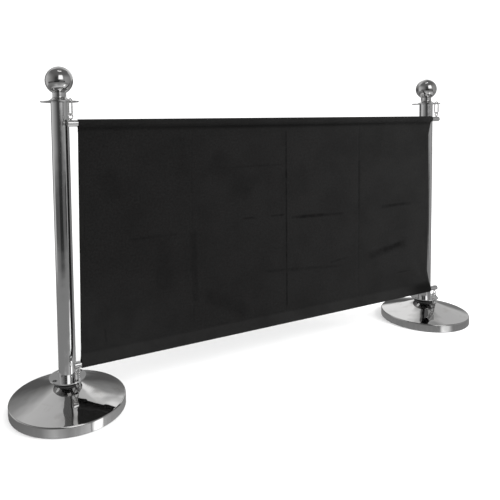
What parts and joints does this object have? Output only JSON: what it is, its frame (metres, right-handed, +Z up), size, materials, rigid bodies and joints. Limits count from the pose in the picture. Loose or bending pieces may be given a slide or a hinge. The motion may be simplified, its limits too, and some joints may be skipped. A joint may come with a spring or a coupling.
{
  "type": "cafe barrier",
  "caption": "Free-standing barrier: chromed ball-top posts on domed weighted bases, joined by a black canvas panel on rods that clip to ring plates with snap hooks.",
  "frame": {"origin": "on the floor, midway between the two post axes", "axes": "+X from the left post to the right post, -Y towards the side the panel hangs on, +Z up"},
  "size_m": [1.85, 0.34, 1],
  "materials": {
    "polished_post": "polished",
    "polished_base": "polished",
    "rod_chrome": "gloss",
    "hook_nickel": "gloss",
    "plain_steel": "satin",
    "rubber": "matte",
    "concrete": "matte",
    "canvas": "matte"
  },
  "bodies": {
    "left_post": {"left_foot_ring": "rubber", "left_base_weight": "concrete", "left_base_cover": "polished_base", "left_base_hub": "rubber", "left_base_bolt": "plain_steel", "left_bolt_washer": "plain_steel", "left_lower_ring_plate": "polished_post", "left_tube_bottom_plug": "plain_steel", "left_post_tube": "polished_post", "left_tube_top_plug": "plain_steel", "left_upper_ring_plate": "polished_post", "left_finial_stud": "plain_steel", "left_finial_neck": "polished_post", "left_finial_ball": "polished_post"},
    "right_post": {"right_foot_ring": "rubber", "right_base_weight": "concrete", "right_base_cover": "polished_base", "right_base_hub": "rubber", "right_base_bolt": "plain_steel", "right_bolt_washer": "plain_steel", "right_lower_ring_plate": "polished_post", "right_tube_bottom_plug": "plain_steel", "right_post_tube": "polished_post", "right_tube_top_plug": "plain_steel", "right_upper_ring_plate": "polished_post", "right_finial_stud": "plain_steel", "right_finial_neck": "polished_post", "right_finial_ball": "polished_post"},
    "panel": {"canvas_panel": "canvas", "top_rod": "rod_chrome", "bottom_rod": "rod_chrome", "top_left_rod_plug": "rod_chrome", "top_left_rod_eye": "hook_nickel", "top_right_rod_plug": "rod_chrome", "top_right_rod_eye": "hook_nickel", "bottom_left_rod_plug": "rod_chrome", "bottom_left_rod_eye": "hook_nickel", "bottom_right_rod_plug": "rod_chrome", "bottom_right_rod_eye": "hook_nickel"},
    "top_left_hook": {"top_left_hook_body": "hook_nickel", "top_left_hook_pin": "plain_steel"},
    "top_left_gate": {"top_left_hook_gate": "hook_nickel", "top_left_hook_spring": "plain_steel"},
    "top_right_hook": {"top_right_hook_body": "hook_nickel", "top_right_hook_pin": "plain_steel"},
    "top_right_gate": {"top_right_hook_gate": "hook_nickel", "top_right_hook_spring": "plain_steel"},
    "bottom_left_hook": {"bottom_left_hook_body": "hook_nickel", "bottom_left_hook_pin": "plain_steel"},
    "bottom_left_gate": {"bottom_left_hook_gate": "hook_nickel", "bottom_left_hook_spring": "plain_steel"},
    "bottom_right_hook": {"bottom_right_hook_body": "hook_nickel", "bottom_right_hook_pin": "plain_steel"},
    "bottom_right_gate": {"bottom_right_hook_gate": "hook_nickel", "bottom_right_hook_spring": "plain_steel"}
  },
  "joints": [
    {"name": "panel_swing", "type": "hinge", "parent": "left_post", "child": "panel", "pos_m": [-0.7368, -0.05, 0.5], "axis": [0, 0, 1], "range_deg": [-50, 50]},
    {"name": "right_post_turn", "type": "hinge", "parent": "panel", "child": "right_post", "pos_m": [0.755, -0.05, 0.5], "axis": [0, 0, 1], "range_deg": [-50, 38]},
    {"name": "top_left_hook_swivel", "type": "hinge", "parent": "left_post", "child": "top_left_hook", "pos_m": [-0.7368, -0.05, 0.5], "axis": [0, 0, 1], "range_deg": [-25, 25]},
    {"name": "top_right_hook_swivel", "type": "hinge", "parent": "panel", "child": "top_right_hook", "pos_m": [0.755, -0.05, 0.5], "axis": [0, 0, 1], "range_deg": [-25, 19]},
    {"name": "bottom_left_hook_swivel", "type": "hinge", "parent": "left_post", "child": "bottom_left_hook", "pos_m": [-0.7368, -0.05, 0.5], "axis": [0, 0, 1], "range_deg": [-25, 25]},
    {"name": "bottom_right_hook_swivel", "type": "hinge", "parent": "panel", "child": "bottom_right_hook", "pos_m": [0.755, -0.05, 0.5], "axis": [0, 0, 1], "range_deg": [-25, 19]},
    {"name": "top_left_gate_hinge", "type": "hinge", "parent": "top_left_hook", "child": "top_left_gate", "pos_m": [-0.73406, -0.05752, 0.8692], "axis": [-0.9397, -0.342, 0], "range_deg": [0, 30], "stiffness_Nm_per_rad": 0.01, "springref_deg": -17.19},
    {"name": "top_right_gate_hinge", "type": "hinge", "parent": "top_right_hook", "child": "top_right_gate", "pos_m": [0.755, -0.058, 0.8692], "axis": [-1, 0, 0], "range_deg": [0, 30], "stiffness_Nm_per_rad": 0.01, "springref_deg": -17.19},
    {"name": "bottom_left_gate_hinge", "type": "hinge", "parent": "bottom_left_hook", "child": "bottom_left_gate", "pos_m": [-0.73406, -0.05752, 0.1083], "axis": [0.9397, 0.342, 0], "range_deg": [0, 30], "stiffness_Nm_per_rad": 0.01, "springref_deg": -17.19},
    {"name": "bottom_right_gate_hinge", "type": "hinge", "parent": "bottom_right_hook", "child": "bottom_right_gate", "pos_m": [0.755, -0.058, 0.1083], "axis": [1, 0, 0], "range_deg": [0, 30], "stiffness_Nm_per_rad": 0.01, "springref_deg": -17.19}
  ],
  "couplings": [
    {"joint": "top_left_hook_swivel", "follows": "panel_swing", "ratio": 0.5},
    {"joint": "top_right_hook_swivel", "follows": "right_post_turn", "ratio": 0.5},
    {"joint": "bottom_left_hook_swivel", "follows": "panel_swing", "ratio": 0.5},
    {"joint": "bottom_right_hook_swivel", "follows": "right_post_turn", "ratio": 0.5}
  ]
}
